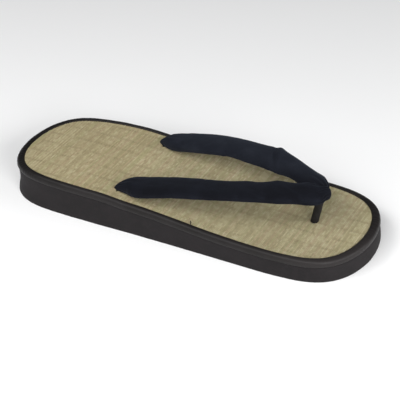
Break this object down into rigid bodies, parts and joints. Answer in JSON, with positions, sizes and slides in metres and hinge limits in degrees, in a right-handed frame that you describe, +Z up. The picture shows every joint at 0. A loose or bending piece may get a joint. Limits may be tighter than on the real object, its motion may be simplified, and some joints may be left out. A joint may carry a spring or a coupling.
{
  "type": "zori sandal",
  "caption": "Flat wedge-soled sandal with a woven rush footbed in a padded edge binding, and a V-shaped velvet strap held by a toe post.",
  "frame": {"origin": "on the floor, under the middle of the sole", "axes": "+X towards the toe, +Y towards the wearer's left, +Z up"},
  "size_m": [0.2729, 0.0958, 0.0451],
  "materials": {
    "sole_foam": "matte closed-cell EVA foam",
    "binding": "black woven edge tape with a soft sheen",
    "rush": "dried woven rush",
    "velvet": "navy-black velvet",
    "post_cord": "dark tubular cord"
  },
  "bodies": {
    "root": {"outsole": "sole_foam", "edge_binding": "binding", "rush_mat": "rush", "straps": "velvet", "toe_post": "post_cord"}
  },
  "joints": []
}
